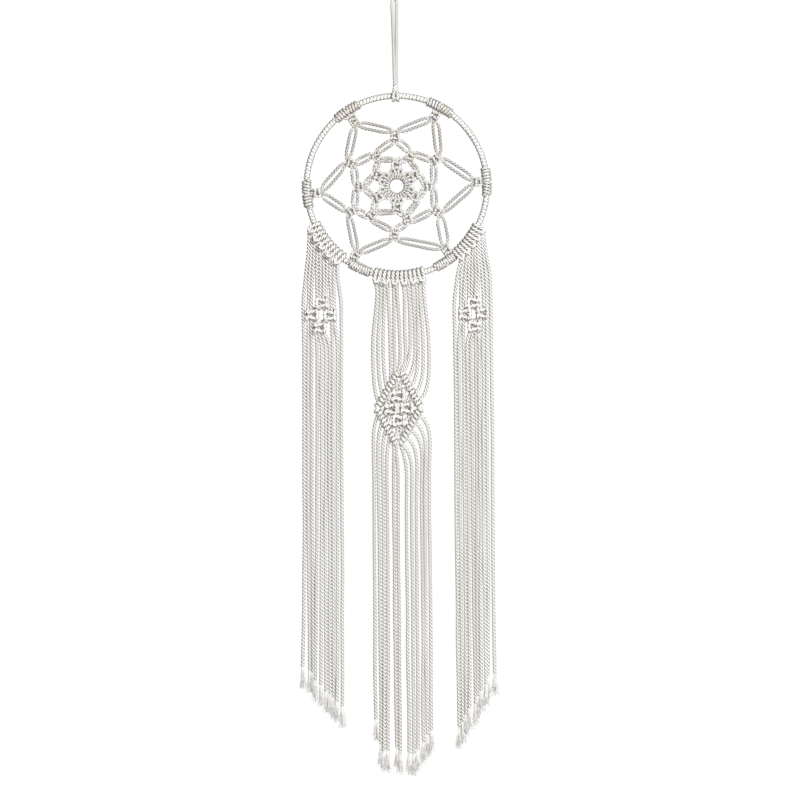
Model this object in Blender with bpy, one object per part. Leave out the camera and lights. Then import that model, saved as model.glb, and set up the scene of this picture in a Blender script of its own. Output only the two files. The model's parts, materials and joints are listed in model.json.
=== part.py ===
"""A macrame dream catcher: a wrapped hoop with a knotted star web, three fringes and a hanging loop.

Lengths are millimetres until a mesh is made. +X is right, +Z is up and the front faces -Y.
The origin is the spot where the hanging loop bears on its hook.
Every cord is its own closed solid. A cord that bends at a joint is two solids, one on each side of it.
"""

import math
from collections import namedtuple

import bmesh
import bpy
from mathutils import Vector

METRES_PER_MM = 0.001

# Driving sizes
HOOP_OUTER = 200.0          # across the wrapped hoop
HOOP_TUBE = 6.8             # thickness of the wrapped hoop
HOOP_WIRE = 3.0             # thickness of the steel wire inside it
HOOK_TO_HOOP = 170.0        # from the hook down to the top of the hoop
CORD = 3.6                  # thickness of the fringe and hanging cords
WEB_CORD = 2.5              # thickness of the web cords, drawn tight
CROWDED_WEB_CORD = 1.9      # the same cords where they crowd round the centre ring
GAP = 0.4                   # room left between pieces that touch on the real object

# The web: radii of its rings of square knots, each knot tying four strands
CENTRE_RING_RADIUS = 10.8
CENTRE_RING_WIRE = 2.3
KNOT_RADII = (21.4, 37.5, 53.5, 84.0)
WEB_KNOT_HALF = 2.4
INNER_RAYS = 6
STAR_TIP_ANGLES = (2.0, 60.7, 122.9, 184.3, 241.9, 302.5)
LENS_BULGES = (0.7, 0.8, 2.6)
HOOP_TURN_SPREAD = 1.12     # how much further apart the strands are round the hoop than in the knot

# The fringes
CENTRE_PITCH = 5.0
SIDE_PITCH = 4.6
TIGHT_PITCH = CORD + GAP
SIDE_CENTRE = 81.5
CENTRE_CREASE_DROP = 109.6  # all drops are below the hoop's centre
SIDE_CREASE_DROP = 94.0
SIDE_KNOT_DROPS = (125.0, 138.0, 151.5)
SIDE_KNOT_OFFSET = 10.8
SIDE_KNOT_HALF = 3.0
SIDE_FREE_DROP = 168.0
DIAMOND_TOP_DROP = 200.0
DIAMOND_HEIGHT = 79.0
DIAMOND_HALF_WIDTH = 23.6
CENTRE_FREE_DROP = 300.0
BOW_DROP = 165.0
BOW_PITCH = 5.4
CENTRE_END_DROPS = (597.0, 633.0)
LEFT_END_DROPS = (535.0, 578.0)
RIGHT_END_DROPS = (545.0, 602.0)

# The hanging loop
LOOP_HALF_WIDTH = 9.0
LOOP_KNOT_TOP = -56.0
LOOP_KNOT_HEIGHT = 12.0
LOOP_KNOT_RADIUS = 5.4
HANGER_HALF_SPACING = 2.2
HITCH_STUB_TOP = HOOK_TO_HOOP - 10.0

# Meshing
CORD_SIDES = 5
LOOP_SIDES = 6
HOOP_SIDES = 8
HOOP_STATIONS = 48
WRAP_OPENING_DEG = 2.8

# Sizes that follow
HOOP_RADIUS = (HOOP_OUTER - HOOP_TUBE) / 2
HOOP_CENTRE = Vector((0.0, 0.0, -HOOK_TO_HOOP - HOOP_OUTER / 2))
CORD_RADIUS = CORD / 2
WEB_RADIUS = WEB_CORD / 2
WEB_SPACING = WEB_CORD + 0.2
EIGHTH_TURN_HALF = math.tan(math.pi / 8)
HITCH_APOTHEM = HOOP_TUBE / 2 + CORD_RADIUS + 0.5
HITCH_HALF_SPACING = 2.35
HITCH_BAR = (4.2, 6.8)      # how far to the front of the hoop's tube, and how far outwards
HITCH_EXIT = (-0.6, 8.4)
SWAY_AXIS = Vector((0.0, 0.0, LOOP_KNOT_TOP - LOOP_KNOT_HEIGHT - GAP - HANGER_HALF_SPACING - CORD_RADIUS))
TURN_AXIS = Vector((0.0, 0.0, -HITCH_STUB_TOP))
TILT_AXIS = Vector((0.0, 0.0, HOOP_CENTRE.z + HOOP_RADIUS))

COTTON = (0.84, 0.81, 0.75, 1.0)
STEEL = (0.55, 0.55, 0.56, 1.0)

Pivot = namedtuple("Pivot", "empty place")
Row = namedtuple("Row", "middle pitch drop")
Fringe = namedtuple("Fringe", "name first_angle last_angle cords crease free")

LEFT = Fringe(
    "left", 203.5, 234.5, 5,
    Row(-SIDE_CENTRE, 4.5, SIDE_CREASE_DROP), Row(-SIDE_CENTRE, SIDE_PITCH, SIDE_FREE_DROP),
)
RIGHT = Fringe(
    "right", -50.2, -28.5, 5,
    Row(SIDE_CENTRE + 1.9, 4.05, SIDE_CREASE_DROP), Row(SIDE_CENTRE, SIDE_PITCH, SIDE_FREE_DROP),
)
CENTRE = Fringe(
    "centre", -104.0, -76.0, 6,
    Row(0.0, 4.9, CENTRE_CREASE_DROP), Row(0.0, CENTRE_PITCH, CENTRE_FREE_DROP),
)


# Scene helpers

def clear_scene():
    for thing in list(bpy.context.scene.objects):
        bpy.data.objects.remove(thing, do_unlink=True)


def make_material(name, colour, roughness, metallic):
    material = bpy.data.materials.new(name)
    material.use_nodes = True
    surface = material.node_tree.nodes["Principled BSDF"]
    surface.inputs["Base Color"].default_value = colour
    surface.inputs["Roughness"].default_value = roughness
    surface.inputs["Metallic"].default_value = metallic
    return material


def add_pivot(name, place, parent=None):
    """An empty on a joint's axis. Everything that turns about the axis is parented to it."""
    empty = bpy.data.objects.new(name, None)
    bpy.context.scene.collection.objects.link(empty)
    start = parent.place if parent else Vector()
    empty.location = (place - start) * METRES_PER_MM
    empty.parent = parent.empty if parent else None
    return Pivot(empty, place)


def add_piece(name, shape, pivot, steel=False):
    """One named object from a bmesh in world millimetres, hung on its pivot, with its own material."""
    bmesh.ops.recalc_face_normals(shape, faces=shape.faces)
    bmesh.ops.translate(shape, verts=shape.verts, vec=-pivot.place)
    bmesh.ops.scale(shape, verts=shape.verts, vec=Vector((METRES_PER_MM,) * 3))
    mesh = bpy.data.meshes.new(name)
    shape.to_mesh(mesh)
    shape.free()
    piece = bpy.data.objects.new(name, mesh)
    bpy.context.scene.collection.objects.link(piece)
    piece.parent = pivot.empty
    if steel:
        mesh.materials.append(make_material(name, STEEL, 0.35, 1.0))
    else:
        mesh.materials.append(make_material(name, COTTON, 0.9, 0.0))
    mesh.shade_smooth()
    return piece


# Cord solids

def path_frames(path, closed):
    """For each point of a path: the tangent that halves its bend, the way it bends, and how sharply."""
    frames = []
    last = len(path) - 1
    for i, point in enumerate(path):
        has_before = closed or i > 0
        has_after = closed or i < last
        before = path[i - 1] if has_before else 2 * point - path[i + 1]
        after = path[(i + 1) % len(path)] if has_after else 2 * point - path[i - 1]
        into = (point - before).normalized()
        out = (after - point).normalized()
        tangent = (into + out).normalized()
        frames.append((tangent, out - into, 1.0 / tangent.dot(out)))
    return frames


def add_rings(shape, path, radii, sides, closed=False):
    """Rings of corners along a path. Each ring is mitred, so that a cord keeps its thickness in a bend."""
    frames = path_frames(path, closed)
    normal = frames[0][0].cross(Vector((0.0, 1.0, 0.0))).normalized()
    previous = frames[0][0]
    rings = []
    for point, radius, (tangent, bend, stretch) in zip(path, radii, frames):
        normal.rotate(previous.rotation_difference(tangent))
        across = tangent.cross(normal)
        ring = []
        for corner in range(sides):
            turn = (corner + 0.5) * math.tau / sides
            offset = radius * (math.cos(turn) * normal + math.sin(turn) * across)
            if bend.length > 1e-6:
                bend_way = bend.normalized()
                offset += bend_way * offset.dot(bend_way) * (stretch - 1.0)
            ring.append(shape.verts.new(point + offset))
        rings.append(ring)
        previous = tangent
    return rings


def skin(shape, rings):
    for near, far in zip(rings, rings[1:]):
        for corner in range(len(near)):
            shape.faces.new((near[corner - 1], near[corner], far[corner], far[corner - 1]))


def cord_shape(path, radii=CORD_RADIUS, sides=CORD_SIDES, closed=False):
    """A solid cord along a path: capped at its ends, or joined into a ring."""
    if not isinstance(radii, list):
        radii = [radii] * len(path)
    shape = bmesh.new()
    rings = add_rings(shape, path, radii, sides, closed)
    if closed:
        skin(shape, rings + rings[:1])
    else:
        skin(shape, rings)
        shape.faces.new(rings[0])
        shape.faces.new(rings[-1])
    return shape


def sleeve_shape(path, outer, inner, sides):
    """An open-ended hollow sleeve along a path."""
    shape = bmesh.new()
    outside = add_rings(shape, path, [outer] * len(path), sides)
    inside = add_rings(shape, path, [inner] * len(path), sides)
    skin(shape, outside)
    skin(shape, inside)
    skin(shape, [outside[0], inside[0]])
    skin(shape, [outside[-1], inside[-1]])
    return shape


# Places on the hoop

def polar(angle, radius, front=0.0):
    """A point at an angle in degrees from +X round the hoop's centre, brought to the front by front."""
    turn = math.radians(angle)
    return HOOP_CENTRE + Vector((radius * math.cos(turn), -front, radius * math.sin(turn)))


def by_tube(angle, along, front, out):
    """A point near the hoop's tube: along the hoop from an angle, to the front and outwards of the tube."""
    return polar(angle + math.degrees(along / HOOP_RADIUS), HOOP_RADIUS + out, front)


def below_centre(x, drop, front=0.0):
    return HOOP_CENTRE + Vector((x, -front, -drop))


def blend(start, end, share):
    return start + (end - start) * share


# The hoop

def add_hoop(pivot):
    stations = [polar(90.0 + 360.0 * i / HOOP_STATIONS, HOOP_RADIUS) for i in range(HOOP_STATIONS)]
    wire = cord_shape(stations, HOOP_WIRE / 2, LOOP_SIDES, closed=True)
    add_piece("hoop_ring", wire, pivot, steel=True)

    first = 90.0 + WRAP_OPENING_DEG / 2
    step = (360.0 - WRAP_OPENING_DEG) / HOOP_STATIONS
    sleeve = [polar(first + step * i, HOOP_RADIUS) for i in range(HOOP_STATIONS + 1)]
    outer = HOOP_TUBE / 2 / math.cos(math.pi / HOOP_SIDES)
    add_piece("hoop_wrap", sleeve_shape(sleeve, outer, HOOP_WIRE / 2 + GAP, HOOP_SIDES), pivot)


# Lark's head hitches on the hoop's tube

def hitch_half(angle, side):
    """Half a hitch: from the bar in front, over the inside of the hoop, and out behind the bar."""
    apothem = HITCH_APOTHEM
    half = apothem * EIGHTH_TURN_HALF
    turns = [HITCH_BAR, (apothem, half), (apothem, -half), (half, -apothem)]
    turns += [(-half, -apothem), (-apothem, -half), (-apothem, half), HITCH_EXIT]
    return [by_tube(angle, side * HITCH_HALF_SPACING, front, out) for front, out in turns]


def hitch_path(angle, first_end, last_end):
    """A folded cord hitched to the hoop at an angle, with its two legs led to the given points."""
    first = hitch_half(angle, -1) + first_end
    last = hitch_half(angle, 1) + last_end
    return first[::-1] + last


# Web

def web_point(angle, radius, lateral):
    """A point on a ray of the web, moved sideways from the ray."""
    turn = math.radians(angle)
    return polar(angle, radius) + lateral * Vector((-math.sin(turn), 0.0, math.cos(turn)))


def ring_turn(angle):
    """Half a lark's head on the centre ring: in over the front, through the hole, and out behind."""
    orbit = CENTRE_RING_WIRE / 2 + CROWDED_WEB_CORD / 2 + 0.25
    half = orbit * EIGHTH_TURN_HALF
    turns = [(4.6, orbit), (-half, orbit), (-orbit, half), (-orbit, -half), (-half, -orbit), (3.9, -orbit)]
    return [polar(angle, CENTRE_RING_RADIUS + out, front) for out, front in turns]


def hoop_turn(angle, along):
    """One turn of a web strand round the hoop, ending behind it."""
    apothem = HOOP_TUBE / 2 + WEB_RADIUS + GAP
    half = apothem * EIGHTH_TURN_HALF
    turns = [(half, -apothem), (apothem, -half), (apothem, half), (half, apothem)]
    turns += [(-half, apothem), (-apothem, half), (-apothem, -half), (-half, -apothem)]
    advance = WEB_SPACING / len(turns)
    return [by_tube(angle, along - advance * i, *turn) for i, turn in enumerate(turns)]


def web_knots(ray, side):
    """The four knots that a cord passes: angle of the knot's ray and the side of it that the cord keeps."""
    inner_angle = 30.0 + 60.0 * ray
    outer_ray = (ray + (side + 1) // 2) % INNER_RAYS
    tip_angle = STAR_TIP_ANGLES[outer_ray]
    return [(inner_angle, side), (60.0 * outer_ray, -side), (inner_angle, side), (tip_angle, -side)]


def web_strand(ray, side, near):
    """One strand from the ring out to the hoop. near says that it keeps nearer to its inner ray."""
    path = ring_turn(30.0 + 60.0 * ray + side * (7.5 if near else 22.5))[::-1]
    radii = [CROWDED_WEB_CORD / 2] * (len(path) - 1) + [WEB_RADIUS]
    knots = web_knots(ray, side)
    for level, ((angle, keeps), radius) in enumerate(zip(knots, KNOT_RADII)):
        inside = near == (level % 2 == 0)
        lateral = keeps * WEB_SPACING * (0.5 if inside else 1.5)
        enters = web_point(angle, radius - WEB_KNOT_HALF, lateral)
        if level:
            path.append(lens_point(path[-1], enters, LENS_BULGES[level - 1] * side * (-1 if near else 1)))
        path += [enters, web_point(angle, radius + WEB_KNOT_HALF, lateral)]
    path += hoop_turn(angle, lateral * HOOP_TURN_SPREAD + WEB_SPACING / 2)
    radii += [WEB_RADIUS] * (len(path) - len(radii))
    return path, radii


def lens_point(start, end, bulge):
    """The middle of a strand between two knots, pushed sideways so that a pair opens into a lens."""
    middle = blend(start, end, 0.5)
    outward = (middle - HOOP_CENTRE).normalized()
    along = (end - start).normalized()
    sideways = Vector((-along.z, 0.0, along.x))
    if along.dot(outward) < 0.0:
        sideways = -sideways
    return middle + sideways * bulge


def add_web(pivot):
    ring = [polar(360.0 * i / 24, CENTRE_RING_RADIUS) for i in range(24)]
    add_piece("centre_ring", cord_shape(ring, CENTRE_RING_WIRE / 2, LOOP_SIDES, closed=True), pivot, steel=True)
    number = 0
    for ray in range(INNER_RAYS):
        for side in (-1, 1):
            number += 1
            near, near_radii = web_strand(ray, side, near=True)
            far, far_radii = web_strand(ray, side, near=False)
            shape = cord_shape(near[::-1] + far, near_radii[::-1] + far_radii)
            add_piece(f"web_cord_{number:02d}", shape, pivot)


# Fringes

def in_row(fringe, row, strand, drop=None):
    """Where a strand, counted from the left of its fringe, hangs in an even row of strands."""
    from_middle = strand - (2 * fringe.cords - 1) / 2
    return below_centre(row.middle + from_middle * row.pitch, row.drop if drop is None else drop)


def add_hitches(fringe, pivot):
    """The fringe's cords where they hold the hoop, down to the crease where the fringe swings."""
    step = (fringe.last_angle - fringe.first_angle) / (fringe.cords - 1)
    stub_drop = fringe.crease.drop - CORD_RADIUS - GAP
    for cord in range(fringe.cords):
        angle = fringe.first_angle + step * cord
        ends = []
        for strand, side in ((2 * cord, -1), (2 * cord + 1, 1)):
            end = in_row(fringe, fringe.crease, strand, stub_drop)
            leaves = by_tube(angle, side * HITCH_HALF_SPACING, *HITCH_EXIT)
            fall = CORD + 1.5 * abs(end.x - leaves.x)
            hangs = Vector((end.x, 0.0, leaves.z - fall))
            if hangs.z > end.z + CORD:
                ends.append([hangs, end])
            else:
                lean = abs((end - leaves).normalized().x)
                ends.append([end + Vector((0.0, 0.0, CORD_RADIUS * lean))])
        shape = cord_shape(hitch_path(angle, *ends))
        add_piece(f"{fringe.name}_cord_{cord + 1}_hitch", shape, pivot)


def side_strand(fringe, strand):
    """Below the crease: through the small diamond of four square knots, then straight down."""
    ties = (((3, 0.0),), ((1, -SIDE_KNOT_OFFSET), (5, SIDE_KNOT_OFFSET)), ((3, 0.0),))
    path = [in_row(fringe, fringe.crease, strand)]
    for drop, knots in zip(SIDE_KNOT_DROPS, ties):
        for first, offset in knots:
            if first <= strand < first + 4:
                x = fringe.free.middle + offset + (strand - first - 1.5) * TIGHT_PITCH
                path += [below_centre(x, drop - SIDE_KNOT_HALF), below_centre(x, drop + SIDE_KNOT_HALF)]
    return path + [in_row(fringe, fringe.free, strand)]


def centre_strand(fringe, strand):
    """Below the crease: the middle two strands edge the diamond panel in front, the rest pass behind."""
    side = -1 if strand < fringe.cords else 1
    inward = fringe.cords - 1 - strand if side < 0 else strand - fringe.cords
    crease = in_row(fringe, fringe.crease, strand)
    middle_drop = DIAMOND_TOP_DROP + DIAMOND_HEIGHT / 2
    if inward == 0:
        x = side * TIGHT_PITCH / 2
        front = CORD + GAP
        corner = below_centre(side * DIAMOND_HALF_WIDTH, middle_drop, front)
        top = below_centre(x * 1.1, DIAMOND_TOP_DROP, front)
        bottom = below_centre(x * 1.1, DIAMOND_TOP_DROP + DIAMOND_HEIGHT, front)
        above = below_centre(x, DIAMOND_TOP_DROP - 2 * CORD)
        below = below_centre(x, DIAMOND_TOP_DROP + DIAMOND_HEIGHT + 2 * CORD)
        return [crease, above, top, corner, bottom, below]
    x = side * (TIGHT_PITCH / 2 + inward * TIGHT_PITCH)
    reach = DIAMOND_HEIGHT / 2 * (1.0 - abs(x) / DIAMOND_HALF_WIDTH) + CORD
    bow = in_row(fringe, Row(0.0, BOW_PITCH, BOW_DROP), strand)
    enters = below_centre(x, middle_drop - reach)
    leaves = below_centre(x, middle_drop + reach)
    return [crease, bow, enters, leaves, in_row(fringe, fringe.free, strand)]


def end_drop(fringe, strand):
    """The fringes are trimmed slanting: longest in the middle fringe's middle and at the inner sides."""
    last = 2 * fringe.cords - 1
    if fringe.name == "centre":
        return blend(*CENTRE_END_DROPS, 1.0 - abs(2.0 * strand / last - 1.0))
    if fringe.name == "left":
        return blend(*LEFT_END_DROPS, strand / last)
    return blend(*RIGHT_END_DROPS, 1.0 - strand / last)


def add_legs(fringe, pivot):
    """The fringe's cords below the crease. The two legs of each cord join on the crease line."""
    route = centre_strand if fringe.name == "centre" else side_strand
    for cord in range(fringe.cords):
        legs = []
        for strand in (2 * cord, 2 * cord + 1):
            end = in_row(fringe, fringe.free, strand, end_drop(fringe, strand))
            legs.append(route(fringe, strand) + [end])
        add_piece(f"{fringe.name}_cord_{cord + 1}_legs", cord_shape(legs[0][::-1] + legs[1]), pivot)


# Hanger

def half_turn(centre, radius, way):
    """A half circle in the XZ plane, over the top when way is 1 and round the bottom when it is -1."""
    turns = [math.pi * i / 4 for i in range(5)]
    return [centre + radius * Vector((-way * math.cos(t), 0.0, way * math.sin(t))) for t in turns]


def add_hanging_loop(pivot):
    """The loop that goes over the hook, and the overhand knot that its two ends are tied in."""
    crown = CORD_RADIUS * math.cos(math.pi / LOOP_SIDES)
    right = [(3.2, crown), (7.4, -6.0), (LOOP_HALF_WIDTH, -20.0), (6.8, -38.0)]
    right += [(HANGER_HALF_SPACING, LOOP_KNOT_TOP - 2.0), (HANGER_HALF_SPACING, LOOP_KNOT_TOP - 6.0)]
    left = [(-x, z) for x, z in right[::-1]]
    path = [Vector((x, 0.0, z)) for x, z in left + right]
    loop = add_piece("hanger_loop", cord_shape(path, sides=LOOP_SIDES), pivot)

    knot = bmesh.new()
    bmesh.ops.create_cone(
        knot, cap_ends=True, segments=10, radius1=LOOP_KNOT_RADIUS, radius2=LOOP_KNOT_RADIUS,
        depth=LOOP_KNOT_HEIGHT,
    )
    bmesh.ops.translate(knot, verts=knot.verts, vec=(0.0, 0.0, LOOP_KNOT_TOP - LOOP_KNOT_HEIGHT / 2))
    cutter = add_piece("overhand_knot_tool", knot, pivot)
    cutter.hide_render = True
    cutter.display_type = "WIRE"
    union = loop.modifiers.new("tie", "BOOLEAN")
    union.operation = "UNION"
    union.solver = "EXACT"
    union.object = cutter


def add_hanger_cords(pivot):
    """The two hanging strands, as one long link from the knot down to the hitch on the hoop."""
    low = Vector((0.0, 0.0, TURN_AXIS.z + GAP + HANGER_HALF_SPACING + CORD_RADIUS))
    path = half_turn(SWAY_AXIS, HANGER_HALF_SPACING, 1) + half_turn(low, HANGER_HALF_SPACING, -1)
    add_piece("hanger_cords", cord_shape(path, closed=True), pivot)


def add_hanger_hitch(pivot):
    ends = [[Vector((side * HITCH_HALF_SPACING, 0.0, TURN_AXIS.z))] for side in (1, -1)]
    add_piece("hanger_hitch", cord_shape(hitch_path(90.0, *ends)), pivot)


def build():
    clear_scene()
    hook = add_pivot("hook_axis", Vector())
    sway = add_pivot("hanger_sway_axis", SWAY_AXIS, hook)
    turn = add_pivot("hoop_turn_axis", TURN_AXIS, sway)
    tilt = add_pivot("hoop_tilt_axis", TILT_AXIS, turn)
    add_hanging_loop(hook)
    add_hanger_cords(sway)
    add_hanger_hitch(turn)
    add_hoop(tilt)
    add_web(tilt)
    for fringe in (LEFT, CENTRE, RIGHT):
        axis_middle = below_centre(fringe.crease.middle, fringe.crease.drop)
        crease = add_pivot(f"{fringe.name}_swing_axis", axis_middle, tilt)
        add_hitches(fringe, tilt)
        add_legs(fringe, crease)


build()
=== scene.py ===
"""Looks for a macrame dream catcher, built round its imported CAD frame.

Every cord is a rope of three twisted plies, led along the way a real cord takes: hitches, square knots,
turns round the hoop and frayed ends. Lengths are millimetres until a mesh is made.
+X is right, +Z is up and the front faces -Y. Drops are measured down from the hoop's centre.
"""

import json
import math
from collections import namedtuple

import bpy
import numpy as np
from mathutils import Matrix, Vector


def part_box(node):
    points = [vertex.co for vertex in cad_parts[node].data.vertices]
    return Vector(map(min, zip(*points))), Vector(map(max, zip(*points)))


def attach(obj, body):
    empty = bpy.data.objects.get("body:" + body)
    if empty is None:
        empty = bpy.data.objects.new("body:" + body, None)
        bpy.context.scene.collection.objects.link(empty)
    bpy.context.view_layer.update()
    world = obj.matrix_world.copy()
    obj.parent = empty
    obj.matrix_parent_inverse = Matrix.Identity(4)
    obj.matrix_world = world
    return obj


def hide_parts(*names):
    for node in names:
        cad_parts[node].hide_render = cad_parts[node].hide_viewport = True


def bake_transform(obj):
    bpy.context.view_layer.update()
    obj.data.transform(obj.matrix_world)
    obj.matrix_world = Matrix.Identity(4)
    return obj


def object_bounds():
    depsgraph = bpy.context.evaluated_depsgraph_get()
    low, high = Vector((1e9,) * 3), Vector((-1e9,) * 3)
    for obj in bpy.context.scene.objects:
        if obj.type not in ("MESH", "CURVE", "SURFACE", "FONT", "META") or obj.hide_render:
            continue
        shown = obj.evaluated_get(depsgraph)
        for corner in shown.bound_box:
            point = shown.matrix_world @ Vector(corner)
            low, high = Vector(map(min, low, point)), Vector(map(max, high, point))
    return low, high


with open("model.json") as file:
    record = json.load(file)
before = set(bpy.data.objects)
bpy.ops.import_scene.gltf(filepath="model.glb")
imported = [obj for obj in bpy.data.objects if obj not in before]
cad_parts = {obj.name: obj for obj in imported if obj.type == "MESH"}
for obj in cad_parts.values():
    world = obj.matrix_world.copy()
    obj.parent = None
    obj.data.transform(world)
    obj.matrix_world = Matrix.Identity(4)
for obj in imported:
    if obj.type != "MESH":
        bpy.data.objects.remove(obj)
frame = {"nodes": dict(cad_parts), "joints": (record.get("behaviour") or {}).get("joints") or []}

MM = 0.001
CAD_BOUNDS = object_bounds()


def node_box(node):
    """Lowest and highest corner of a CAD node at rest, in millimetres."""
    low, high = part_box(node)
    return np.array(low) / MM, np.array(high) / MM


def joint_place(name):
    """A point on the axis of one of the frame's joints, in millimetres."""
    joint = next(j for j in frame["joints"] if j["name"] == name)
    return np.array(joint["pos_m"], float) / MM


# Sizes from the frame
WRAP_LOW, WRAP_HIGH = node_box("hoop_wrap")
HOOP_CENTRE = (WRAP_LOW + WRAP_HIGH) / 2
TUBE_RADIUS = (WRAP_HIGH[1] - WRAP_LOW[1]) / 2
HOOP_RADIUS = (WRAP_HIGH[0] - WRAP_LOW[0]) / 2 - TUBE_RADIUS
WIRE_RADIUS = (node_box("hoop_ring")[1][1] - node_box("hoop_ring")[0][1]) / 2
RING_LOW, RING_HIGH = node_box("centre_ring")
RING_WIRE_RADIUS = (RING_HIGH[1] - RING_LOW[1]) / 2
RING_RADIUS = (RING_HIGH[0] - RING_LOW[0]) / 2 - RING_WIRE_RADIUS
LOOP_LOW, LOOP_HIGH = node_box("hanger_loop")
SWAY_Z = joint_place("hanger_sway")[2]
TURN_Z = joint_place("hoop_turn")[2]

# The cords
CORD_RADIUS = 0.59 * TUBE_RADIUS
WEB_RADIUS = 0.5 * TUBE_RADIUS
HANGER_RADIUS = 0.54 * TUBE_RADIUS
WEB_SHADES = (0.62, 1.0)         # grey of the crests and painted shade in the grooves of the web's cords
WRAP_SHADES = (0.25, 0.85)
HANGER_SHADES = (0.1, 1.0)
FRINGE_CREST_SHADE = 0.14        # the most that a fringe cord's crests are darkened
BENT_FADE = 0.42                 # how much paler the painted groove shade is where a cord is tightly bent
LAY = 5.7 * CORD_RADIUS          # length in which the plies go once round
RING_SPACING = 1.0               # between the rings of corners along a rope
WEB_RING_SPACING = 0.8
PLIES = 3
PLY_PROFILE = (                  # round one ply: share of the cord's radius, and its painted groove shade
    (0.62, 1.0), (0.82, 0.92), (0.98, 0.05), (1.0, 0.0), (0.86, 0.75),
)
TUFT_LENGTH = 24.0
TUFT_SPREAD = 4.6
TUFT_YARNS = 50
YARN_RADIUS = 0.34
YARN_SIDES = 5
YARN_SPACING = 2.4               # between the rings of corners along a yarn

FRONT = np.array((0.0, -1.0, 0.0))
RIGHT_WAY = np.array((1.0, 0.0, 0.0))
DOWN = np.array((0.0, 0.0, -1.0))

# The web, counted anticlockwise from the right: angle and radius of each knot of its four rings
KNOT_A = tuple((30.0 + 60.0 * i, 22.3) for i in range(6))
KNOT_B = ((-1.0, 34.7), (65.0, 34.5), (123.9, 37.4), (180.8, 39.0), (228.6, 40.3), (287.0, 36.6))
KNOT_C = ((33.5, 51.0), (91.4, 53.6), (152.9, 55.0), (208.0, 55.0), (266.0, 52.2), (327.0, 51.3))
KNOT_D = ((2.1, 87.6), (60.7, 86.4), (122.9, 83.0), (184.3, 85.4), (238.5, 86.5), (307.0, 87.6))
HOOP_TURNS_AT = (2.0, 60.5, 123.0, 184.3, 245.0, 302.0)
PAIR_HALF = (1.7, 2.3, 2.4)      # how far the strands of a pair move apart between two rings of knots
WIDE_PAIR = (5, -1)              # ray and side of the pair that opens widest on its way to the hoop
WIDE_PAIR_HALF = 3.6
WEB_KNOT_RADII = (0.96, 0.84, 0.84, 0.86)     # of the cord in the knots of each ring, against WEB_RADIUS
WEB_KNOT_TALL = 0.86
TURN_PITCH = 3.3
LAST_TURN_PITCH = 2.8            # where the turns crowd between two fringes

# The fringes
KNOT_CORD_RADIUS = 1.05 * CORD_RADIUS
KNOT_TALL = 0.8
DIAMOND_TOP = 198.5
DIAMOND_HEIGHT = 78.5
DIAMOND_HALF_WIDTH = 23.6
DIAMOND_MIDDLE = -0.9
BOW_DROP = 165.0                 # where the centre fringe bows out widest above its diamond
EDGE_PITCH = 4.5                 # between the turns along the diamond's edges
EDGE_CORD_RADIUS = 0.95 * CORD_RADIUS
PANEL_SPACING = 4.3              # between the strands inside the diamond
PANEL_CORD_RADIUS = 1.13 * CORD_RADIUS
# Of each square knot in the diamond: first of its four strands, and its middle's place right and down
PANEL_KNOTS = ((3, 0.0, -13.5), (1, 0.3, 0.5), (5, -0.1, -0.5), (3, 0.0, 13.0))
BAR_OUT = 2.45 * TUBE_RADIUS     # from the hoop's wire out to the bar of a hitch
HANGING_STEP = 45.0              # at least this far between the path points of a hanging strand
SHORTEST_FALL = 7.0              # a strand bends between hitch and crease only where it falls further

# The hanging cord
HANGER_HALF_GAPS = (0.9, 2.4)    # half the gap of the two strands: above the hitch, below the knot
HANGER_BAR_OUT = 2.9 * TUBE_RADIUS
HANGER_PINCH = 0.45
HANGER_LAY = 5.0 * HANGER_RADIUS
HANGER_TONE = 0.15
HITCH_HALF = 2.3                 # half the distance of the two loops of its hitch on the hoop
LOOP_KNOT_TOP = SWAY_Z + 16.4
LOOP_KNOT_LOW = SWAY_Z + 5.2
LOOP_KNOT_TURNS = 2.6
LOOP_KNOT_ORBIT = 3.1

# The cord wound round the hoop
WRAP_PITCH = 3.9
WRAP_FIRST = 91.2                # the angle where it starts, beside the hanging cord
WRAP_SWEEP = 357.6
WRAP_TONE = 0.2

CAMERA_ROLL = 0.75               # degrees
PICTURE_WIDTH = 4.282 * (WRAP_HIGH[0] - WRAP_LOW[0])
PICTURE_DROP = 1.145 * (WRAP_HIGH[0] - WRAP_LOW[0])    # from the hoop's centre to the picture's middle

random_source = np.random.default_rng(20)

# A row of strands as wide as the CAD solids' one times spread, moved to the right by shift
Row = namedtuple("Row", "spread shift")

# first_loop and last_loop: angles on the hoop. crease: the row at the swing axis. row: the row above the
# ends. lean: how far the ends drift. nudges: strands off the even row, as shares of its spacing.
# longer: how much further down each strand ends than its solid.
# knots: (first of its four strands, distance right of the row's middle, drop) of each square knot.
Fringe = namedtuple("Fringe", "name first_loop last_loop cords crease row lean nudges longer knots")
LEFT = Fringe(
    name="left", first_loop=204.9, last_loop=232.2, cords=5,
    crease=Row(0.84, -0.1), row=Row(1.0, 0.0), lean=-3.8,
    nudges=(0, 0, -0.1, 0.1, 0.15, 0.1, 0, -0.15, -0.05, 0), longer=(0,) * 10,
    knots=((3, -0.3, 124.0), (1, -10.6, 136.5), (5, 8.4, 137.5), (3, -2.6, 150.5)),
)
RIGHT = Fringe(
    name="right", first_loop=-49.7, last_loop=-27.4, cords=5,
    crease=Row(0.84, -0.3), row=Row(0.966, -2.0), lean=-1.8,
    nudges=(0, 0, 0.1, 0.1, 0, 0.1, 0, -0.1, -0.1, 0), longer=(0,) * 10,
    knots=((3, -1.2, 126.0), (1, -10.4, 138.0), (5, 8.4, 137.0), (3, -0.7, 151.0)),
)
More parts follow.
